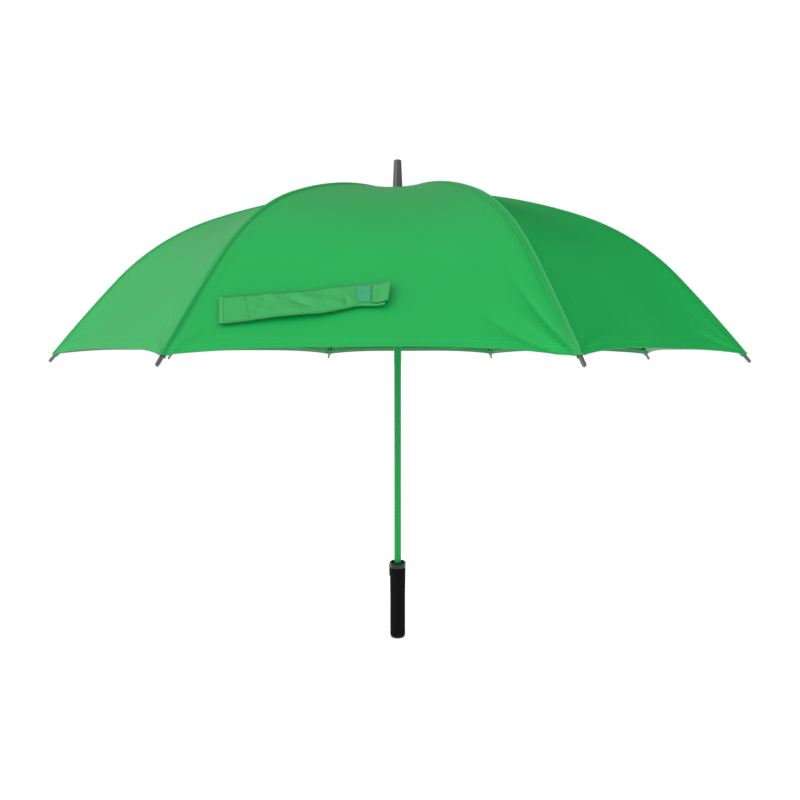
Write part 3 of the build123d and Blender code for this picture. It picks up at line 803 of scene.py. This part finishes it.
def cut_pattern(outer):
    """Width, length and area of a half gore as it is cut flat, from the rib's arc and the gore's angle.

    It doesn't read the mesh."""
    c = sizes("canopy")
    if outer:
        first, last = c.joint_arc, (c.corner_arc + 2 * c.hem_arc) / 3 + c.hem_fold
    else:
        first, last = c.inner_arc, c.joint_arc + c.overlap
    steps = 60
    step = (last - first) / steps
    area = sum(
        rib_point(max(min(first + (k + 0.5) * step, c.corner_arc), 0))[0] * math.sin(HALF) * step
        for k in range(steps)
    )
    width = rib_point(min(last, c.corner_arc))[0] * math.sin(HALF)
    return round(width, 4), round(last - first, 4), round(area, 5)


class UMBRELLA_OT_canopy(bpy.types.Operator):
    """Cloth of the canopy: each gore in two halves, inside and outside the rib joints"""

    bl_idname = "umbrella.canopy"
    bl_label = "Canopy"

    def execute(self, context):
        for gore in range(RIB_COUNT):
            creases = Creases(gore)
            for toward in (1, -1):
                rib = gore if toward > 0 else (gore - 1) % RIB_COUNT
                for outer in (False, True):
                    self.half_gore(gore, rib, toward, outer, creases)
        return {"FINISHED"}

    def half_gore(self, gore, rib, toward, outer, creases):
        c = sizes("canopy")
        count = c.rows if outer else c.rows // 2
        first, last = (c.joint_arc, None) if outer else (c.inner_arc, c.joint_arc)
        # Share down the cloth, arc past that, sink below the face, and how the normal turns.
        plan = [(i / count, 0.0, 0.0, 1.0) for i in range(count + 1)]
        if outer:
            plan += [(1.0, 0.0006, -0.0005, 0.0), (1.0, 0.0, -0.0010, -1.0),
                     (1.0, -c.hem_fold / 2, -0.0012, -1.0), (1.0, -c.hem_fold, -0.0011, -1.0)]
        else:
            plan += [(1.0, c.overlap / 2, -0.0006, 1.0), (1.0, c.overlap, -0.0008, 1.0)]
        place = np.array(plan)
        across = toward * (1 - (1 - np.linspace(0, 1, c.columns + 1)) ** 1.5)[None, :]
        bow = c.hem_arc + (c.corner_arc - c.hem_arc) * np.abs(across) ** 2.6
        end = bow if outer else np.full(across.shape, last)
        arc = first + (end - first) * place[:, 0:1] + place[:, 1:2]
        points = cloth_points(gore, arc, across, place[:, 2:3], creases)
        normals = cloth_normals(gore, arc, across, creases)
        down = np.array((0.0, 0.0, -1.0))
        way = place[:, 3][:, None, None]
        normals = np.where(way == 0, down, normals * np.where(way == 0, 1, way))
        half = half_width(arc)
        seam = half * (1 - np.abs(across))
        hem = bow - arc if outer else np.full(arc.shape, 0.3)
        rows = [[Vector(p) for p in line] for line in points]
        normals = [[Vector(p) for p in line] for line in normals]
        uvs = np.stack((across * half, arc), axis=-1).tolist()
        seam, hem = seam.tolist(), hem.tolist()
        side = "right" if toward > 0 else "left"
        name = f"gore_{gore + 1}_{side}_{'outer' if outer else 'inner'}"
        mesh = grid_mesh(name, rows, normals, uvs, {"seam": seam, "hem": hem}, flip=toward > 0)
        piece = new_piece(name, mesh)
        paint(piece, "canopy cloth")
        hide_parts("canopy")
        width, long, area = cut_pattern(outer)
        gather(piece, rib, toward, outer)


STRAP_RIB = RIB_COUNT - 3
# Length that the strap's shares cover, and the cut length with its turned end.
STRAP_RUN, STRAP_CUT = 0.190, 0.192
STITCH_LENGTH, STITCH_THREAD, TIE_THREAD = 3.0 * MM, 0.20 * MM, 0.22 * MM
# Edges of the strap: share of its length, then arc and place across of its upper and lower edge.
STRAP_EDGES = np.array((
    (0.00, 0.597, -0.84, 0.638, -0.77),
    (0.25, 0.587, -0.62, 0.625, -0.52),
    (0.50, 0.580, -0.40, 0.617, -0.27),
    (0.79, 0.568, -0.11, 0.604, -0.075),
    (1.00, 0.565, 0.10, 0.605, 0.08),
))
# Puckers of the strap: share and place of both ends, width and height in millimetres.
STRAP_PUCKERS = (
    (0.15, -0.70, 0.24, 0.30, 3.2, -1.1), (0.14, 0.20, 0.27, -0.55, 3.0, 0.9),
    (0.27, 0.95, 0.33, 0.20, 3.4, 1.3), (0.37, 0.45, 0.49, -0.45, 3.6, -1.9),
    (0.41, 0.80, 0.56, -0.10, 4.6, 1.8), (0.52, 0.75, 0.66, 0.30, 3.2, -1.1),
    (0.56, 0.10, 0.70, -0.60, 4.2, 1.4), (0.62, 0.90, 0.74, 0.60, 3.0, 1.2),
    (0.715, 0.10, 0.705, -0.75, 2.4, -1.5), (0.735, 0.20, 0.765, -0.80, 2.8, 1.3),
    (0.30, -0.20, 0.44, -0.80, 4.0, 1.1), (0.20, 0.85, 0.26, 0.40, 2.4, -1.0),
)


class UMBRELLA_OT_strap(bpy.types.Operator):
    """Closing strap with its folded edges, loop patch, loose end and stitches"""

    bl_idname = "umbrella.strap"
    bl_label = "Strap"
    creases = None

    def surface(self, share, place):
        """Point of the strap's top face; place runs from -1 at its lower edge to 1."""
        s = sizes("strap")
        spread = np.array((-0.025, 0.0, 0.025)) + share
        upper_arc, upper, lower_arc, lower = (
            float(np.mean(np.interp(spread, STRAP_EDGES[:, 0], STRAP_EDGES[:, k]))) for k in range(1, 5)
        )
        up = (place + 1) / 2
        arc = lower_arc + (upper_arc - lower_arc) * up
        across = lower + (upper - lower) * up
        ahead = max(share - 0.975, 0) + min(share - 0.025, 0)
        across += 0.9 * ahead
        x, y = share * STRAP_RUN, place * s.width / 2
        lift = 0.0
        for share_a, place_a, share_b, place_b, wide, high in STRAP_PUCKERS:
            ax, ay = share_a * STRAP_RUN, place_a * s.width / 2
            bx, by = share_b * STRAP_RUN, place_b * s.width / 2
            reach = math.hypot(bx - ax, by - ay)
            run = ((bx - ax) / reach, (by - ay) / reach)
            along = ((x - ax) * run[0] + (y - ay) * run[1]) / reach
            if -0.2 < along < 1.2:
                off = (x - ax) * run[1] - (y - ay) * run[0]
                bell = math.exp(-((off / (wide * MM)) ** 2))
                lift += 1.35 * high * MM * bell * math.cos(math.pi * (along - 0.5) / 1.4) ** 2
        ease = min(max((share - 0.12) / 0.06, 0), 1) * min(max((0.80 - share) / 0.06, 0), 1)
        belly = 1.4 * MM * math.sin(math.pi * min(max(share, 0) / 0.80, 1.0)) * (1 - place * place)
        lip = 2.6 * MM * math.exp(-(((share - 0.36) / 0.20) ** 2)) * max(-place, 0) ** 2
        curl = 4.5 * MM * max((share - 0.93) / 0.07, 0) ** 2
        lift = lift * ease + s.lift + belly + lip + curl
        return cloth_point(FRONT_GORE, arc, across, lift, self.creases)

    def lie(self, share, place):
        """Point and outward normal of the strap's top face."""
        ahead = self.surface(share + 0.004, place) - self.surface(share - 0.004, place)
        aside = self.surface(share, place + 0.02) - self.surface(share, place - 0.02)
        return self.surface(share, place), ahead.cross(aside).normalized()

    def band(self, name, first, last, low, high, raise_it, thick, rows, columns, rough=0.0):
        """A closed band between two shares of the strap's length and two places across it."""
        top, flat = [], []
        for i in range(rows + 1):
            share = first + (last - first) * i / rows
            line, layout = [], []
            for j in range(columns + 1):
                place = low + (high - low) * j / columns
                face, normal = self.lie(share, place)
                edge = min(j, columns - j, i, rows - i)
                round_off = -0.45 * thick if edge == 0 else 0.0
                fuzz = rough * noise.noise(Vector((share * 900, place * 60, 2.0)))
                point = face + normal * (raise_it + thick + round_off + fuzz)
                line.append((point, normal, edge))
                layout.append((share * STRAP_RUN, place * 0.018))
            top.append(line)
            flat.append(layout)
        bm = bmesh.new()
        layer = bm.loops.layers.uv.new("cloth")
        upper = [[bm.verts.new(p) for p, _, _ in line] for line in top]
        lower = [
            [bm.verts.new(p - n * (thick * (0.35 if e == 0 else 0.9))) for p, n, e in line]
            for line in top
        ]
        index_of = {}
        for i, line in enumerate(upper):
            for j, vert in enumerate(line):
                index_of[vert] = index_of[lower[i][j]] = (i, j)
        for grid, back in ((upper, False), (lower, True)):
            for i in range(rows):
                for j in range(columns):
                    corner = (grid[i][j], grid[i][j + 1], grid[i + 1][j + 1], grid[i + 1][j])
                    bm.faces.new(corner[::-1] if back else corner)
        ring = [(i, 0) for i in range(rows)] + [(rows, j) for j in range(columns)]
        ring += [(i, columns) for i in range(rows, 0, -1)] + [(0, j) for j in range(columns, 0, -1)]
        for one, two in zip(ring, ring[1:] + ring[:1]):
            bm.faces.new((upper[one[0]][one[1]], upper[two[0]][two[1]],
                          lower[two[0]][two[1]], lower[one[0]][one[1]]))
        for face in bm.faces:
            for loop in face.loops:
                i, j = index_of[loop.vert]
                loop[layer].uv = flat[i][j]
        return bmesh_piece(name, bm)

    def stitches(self, name, runs, raise_it):
        """Rows of thread stitches along straight runs of share and place on the strap."""
        bm = bmesh.new()
        for (share_a, place_a), (share_b, place_b) in runs:
            one, two = self.surface(share_a, place_a), self.surface(share_b, place_b)
            count = max(int((two - one).length / STITCH_LENGTH), 2)
            for k in range(count):
                points = []
                for t in (0.12, 0.3, 0.5, 0.7, 0.88):
                    u = (k + t) / count
                    face, normal = self.lie(
                        share_a + (share_b - share_a) * u, place_a + (place_b - place_a) * u
                    )
                    arch = raise_it + STITCH_THREAD * math.sin(math.pi * t)
                    points.append(face + normal * arch)
                tube(bm, points, STITCH_THREAD, 6)
        return bmesh_piece(name, bm)

    def execute(self, context):
        s = sizes("strap")
        UMBRELLA_OT_strap.creases = Creases(FRONT_GORE)
        thick = s.thickness
        strap = self.band("strap_band", 0.0, 0.985, -1, 1, 0, thick, 90, 18)
        fold = self.band("strap_loose_fold", 0.895, 1.0, -0.80, 0.86, thick + 0.5 * MM, 1.1 * MM,
                         14, 12)
        patch = self.band("strap_loop_patch", 0.79, 0.892, -0.74, 0.80, thick, 1.2 * MM, 34, 44,
                          rough=0.35 * MM)
        box = [((0.015, -0.90), (0.015, 0.90)), ((0.135, -0.90), (0.135, 0.90)),
               ((0.015, -0.90), (0.135, -0.90)), ((0.015, 0.90), (0.135, 0.90))]
        edges = [((0.135, -0.90), (0.79, -0.90)), ((0.135, 0.90), (0.79, 0.90))]
        sewn = self.stitches("strap_stitches", box + edges, thick)
        patch_sewn = self.stitches(
            "strap_patch_stitches",
            [((0.796, -0.70), (0.796, 0.76)), ((0.886, -0.70), (0.886, 0.76)),
             ((0.796, -0.70), (0.886, -0.70)), ((0.796, 0.76), (0.886, 0.76))],
            thick + 1.25 * MM,
        )
        bm = bmesh.new()
        tail = [self.surface(0.385 + 0.004 * k, 1.02 + 0.06 * math.sin(k)) for k in range(6)]
        lifted = [p + Vector((0, -1.2, 1.0)) * (0.9 * MM * (1 + 0.5 * k)) for k, p in enumerate(tail)]
        tube(bm, lifted, TIE_THREAD, 6)
        thread = bmesh_piece("strap_loose_thread", bm)
        for piece, finish, slot in (
            (strap, "strap cloth", "canopy_cloth"),
            (fold, "strap cloth", "canopy_cloth"),
            (patch, "strap loop pile", "strap_loop"),
            (sewn, "sewing thread", "canopy_cloth"),
            (patch_sewn, "sewing thread", "strap_loop"),
            (thread, "sewing thread", "canopy_cloth"),
        ):
            paint(piece, finish)
        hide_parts("strap")
        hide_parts("strap_patch")
        for piece in (strap, fold, patch, sewn, patch_sewn, thread):
            gather(piece, STRAP_RIB, -1, True)
        return {"FINISHED"}


ROSETTE_HOLE, ROSETTE_RADIUS, ROSETTE_LIFT, PINKED_TEETH = 0.0072, 0.0205, 0.0007, 24
# Distance from a seam or hem that leaves the cloth plain.
CLEAR_OF_SEAM = 0.02


class UMBRELLA_OT_crown(bpy.types.Operator):
    """Small cloth rosette between the canopy and the cap"""

    bl_idname = "umbrella.crown"
    bl_label = "Crown rosette"

    def execute(self, context):
        c = sizes("canopy")
        top = c.hinge_height + c.lift + c.crown_rise + ROSETTE_LIFT
        rows, uvs = [], []
        steps, rings = 96, 8
        for k in range(rings + 1):
            out = k / rings
            radius = ROSETTE_HOLE + (ROSETTE_RADIUS - ROSETTE_HOLE) * k / rings
            line, layout = [], []
            for i in range(steps + 1):
                a = 2 * math.pi * i / steps
                pinked = 1 + 0.03 * math.sin(PINKED_TEETH * a) * out ** 3
                fall = 0.0009 * out ** 2 + 0.0003 * math.sin(RIB_COUNT * a) * out
                r = radius * pinked
                line.append(Vector((r * math.cos(a), r * math.sin(a), top - fall)))
                layout.append((r * math.cos(a), r * math.sin(a)))
            rows.append(line)
            uvs.append(layout)
        seam = [[CLEAR_OF_SEAM] * (steps + 1)] * (rings + 1)
        mesh = grid_mesh("crown_rosette", rows, None, uvs, {"seam": seam, "hem": seam}, flip=True)
        piece = new_piece("crown_rosette", mesh)
        paint(piece, "canopy cloth")
        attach(piece, "root")
        return {"FINISHED"}


# Arcs of the ties on each part of a rib, and the size of their wraps.
INNER_TIES, OUTER_TIES, TIE_RADIUS = (0.11, 0.215), (0.43, 0.54, 0.625), 0.0020
# Tip pockets: start above the hem corner, length, flat width, radius and thickness of cloth.
POCKET_START, POCKET_LENGTH, POCKET_WIDTH = 0.016, 0.0155, 0.0114
POCKET_RADIUS, POCKET_CLOTH = 0.0037, 0.0005


class UMBRELLA_OT_ties(bpy.types.Operator):
    """Thread ties that hold the cloth to the ribs, and the sewn pockets at the tips"""

    bl_idname = "umbrella.ties"
    bl_label = "Rib ties"

    def execute(self, context):
        for rib in range(RIB_COUNT):
            turn = Matrix.Rotation(GORE * (rib + 0.5), 4, "Z")
            for outer, arcs in ((False, INNER_TIES), (True, OUTER_TIES)):
                self.rib_ties(rib, turn, outer, arcs)
            self.tip_pocket(rib, turn)
        return {"FINISHED"}

    def rib_ties(self, rib, turn, outer, arcs):
        """Three wraps of thread round a rib at each of some arcs."""
        bm = bmesh.new()
        for arc in arcs:
            for wrap in (-0.6, 0.0, 0.6):
                points = []
                for i in range(15):
                    a = math.radians(-40 + 260 * i / 14)
                    radius, height, fall = rib_point(arc + wrap * MM)
                    out = Vector((math.sin(fall), 0, math.cos(fall)))
                    stretch = 1.75 if math.sin(a) < 0 else 1.0
                    point = Vector((radius, 0, height))
                    point += Vector((0, 1, 0)) * math.cos(a) * TIE_RADIUS
                    point -= out * math.sin(a) * TIE_RADIUS * stretch
                    points.append(turn @ point)
                tube(bm, points, TIE_THREAD, 6)
        piece = bmesh_piece(f"rib_ties_{rib + 1}_{'outer' if outer else 'inner'}", bm)
        paint(piece, "sewing thread")
        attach(piece, f"rib_end_{rib + 1}" if outer else f"rib_{rib + 1}")

    def tip_pocket(self, rib, turn):
        """Folded cloth pocket under the hem that takes the rib's tip."""
        c = sizes("canopy")
        rows, uvs, marks = [], [], []
        for k in range(9):
            arc = c.corner_arc - POCKET_START + POCKET_LENGTH * k / 8
            radius, height, fall = rib_point(arc)
            out = Vector((math.sin(fall), 0, math.cos(fall)))
            swell = POCKET_RADIUS + 0.0006 * math.sin(math.pi * k / 8)
            line, layout = [], []
            for i in range(19):
                a = math.radians(100 + 160 * i / 18)
                point = Vector((radius, 0, height)) + out * math.cos(a) * swell
                point += Vector((0, 1, 0)) * math.sin(a) * swell
                line.append(turn @ point)
                layout.append((a * swell, arc))
            rows.append(line)
            uvs.append(layout)
            marks.append([CLEAR_OF_SEAM] * 19)
        name = f"tip_pocket_{rib + 1}"
        mesh = grid_mesh(name, rows, None, uvs, {"seam": marks, "hem": marks}, flip=True)
        pocket = new_piece(name, mesh)
        pocket.modifiers.new("cloth", "SOLIDIFY").thickness = POCKET_CLOTH
        paint(pocket, "canopy cloth")
        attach(pocket, f"rib_end_{rib + 1}")


# Radius kept clear of pores inside the sleeve, and the room cut round the push button.
SLEEVE_BORE, BUTTON_ROOM = 0.0145, 0.9 * MM


class UMBRELLA_OT_grip(bpy.types.Operator):
    """Foam sleeve of the handle, with soft edges and open pores"""

    bl_idname = "umbrella.grip"
    bl_label = "Foam grip"

    def execute(self, context):
        source = frame["nodes"]["foam_grip"]
        piece = new_piece("foam_sleeve", source.data.copy())
        piece.data.materials.clear()
        remesh = piece.modifiers.new("even", "REMESH")
        remesh.mode = "VOXEL"
        remesh.voxel_size = 0.0008
        smooth = piece.modifiers.new("soft edges", "SMOOTH")
        smooth.iterations = 3
        smooth.factor = 0.4
        graph = context.evaluated_depsgraph_get()
        mesh = bpy.data.meshes.new_from_object(piece.evaluated_get(graph))
        piece.modifiers.clear()
        piece.data = mesh
        button = frame["nodes"]["push_button"]
        pad = [button.matrix_world @ vert.co for vert in button.data.vertices]
        side = max(abs(point.y) for point in pad) + BUTTON_ROOM
        foot = min(point.z for point in pad) - BUTTON_ROOM
        wall = max(point.x for point in pad) + BUTTON_ROOM
        for vert in mesh.vertices:
            within = vert.co.x < wall and abs(vert.co.y) < side and vert.co.z > foot
            if within and side - abs(vert.co.y) < vert.co.z - foot:
                vert.co.y = math.copysign(side, vert.co.y)
            elif within:
                vert.co.z = foot
            flat = Vector((vert.co.x, vert.co.y, 0))
            if flat.length < SLEEVE_BORE:
                continue
            pores = noise.noise(vert.co * 900) * 0.06 * MM + noise.noise(vert.co * 130) * 0.10 * MM
            vert.co += flat.normalized() * (pores - 0.05 * MM)
        mesh.shade_smooth()
        paint(piece, "grip foam")
        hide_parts("foam_grip")
        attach(piece, "root")
        return {"FINISHED"}


class UMBRELLA_OT_finishes(bpy.types.Operator):
    """Finishes of the frame's own pieces"""

    bl_idname = "umbrella.finishes"
    bl_label = "Frame finishes"

    def execute(self, context):
        by_slot = {
            "shaft_green": "green wound shaft", "gunmetal": "gunmetal",
            "rib_steel": "black rib steel", "steel": "bright steel",
            "black_plastic": "black moulding", "gloss_black": "gloss black",
            "grip_foam": "grip foam", "canopy_cloth": "canopy cloth",
            "strap_loop": "strap loop pile",
        }
        slots = {part["node"]: part["material_slot"] for part in frame["record"]["subparts"]}
        for name, node in frame["nodes"].items():
            finish = finish_material(by_slot[slots[name]])
            if not node.material_slots:
                node.data.materials.append(finish)
            for slot in node.material_slots:
                slot.material = finish
        return {"FINISHED"}


class UMBRELLA_PT_panel(bpy.types.Panel):
    """Pieces of the umbrella, in the order they are made"""

    bl_label = "Golf Umbrella"
    bl_idname = "UMBRELLA_PT_panel"
    bl_space_type = "VIEW_3D"
    bl_region_type = "UI"
    bl_category = "Umbrella"

    def draw(self, context):
        for operator in OPERATORS:
            self.layout.operator(operator.bl_idname)
        for name in PROPERTY_GROUPS:
            box = self.layout.box()
            group = sizes(name)
            for key in group.bl_rna.properties.keys():
                if key not in ("rna_type", "name"):
                    box.prop(group, key)


PROPERTY_GROUPS = {
    "canopy": CanopySizes, "strap": StrapSizes, "finish": Finish, "stage": StageSizes,
}
OPERATORS = (
    UMBRELLA_OT_stage, UMBRELLA_OT_finishes, UMBRELLA_OT_canopy, UMBRELLA_OT_strap,
    UMBRELLA_OT_crown, UMBRELLA_OT_ties, UMBRELLA_OT_grip,
)


def register():
    """Register the sizes, the operators and the panel."""
    for name, group in PROPERTY_GROUPS.items():
        bpy.utils.register_class(group)
        setattr(bpy.types.Scene, "umbrella_" + name, bpy.props.PointerProperty(type=group))
    for operator in OPERATORS:
        bpy.utils.register_class(operator)
    bpy.utils.register_class(UMBRELLA_PT_panel)


def unregister():
    """Take the panel, the operators and the sizes away again."""
    bpy.utils.unregister_class(UMBRELLA_PT_panel)
    for operator in reversed(OPERATORS):
        bpy.utils.unregister_class(operator)
    for name, group in reversed(PROPERTY_GROUPS.items()):
        delattr(bpy.types.Scene, "umbrella_" + name)
        bpy.utils.unregister_class(group)


def main():
    """Make the umbrella."""
    register()
    bpy.ops.umbrella.stage()
    bpy.ops.umbrella.finishes()
    bpy.ops.umbrella.canopy()
    bpy.ops.umbrella.strap()
    bpy.ops.umbrella.crown()
    bpy.ops.umbrella.ties()
    bpy.ops.umbrella.grip()


if __name__ == "__main__":
    main()
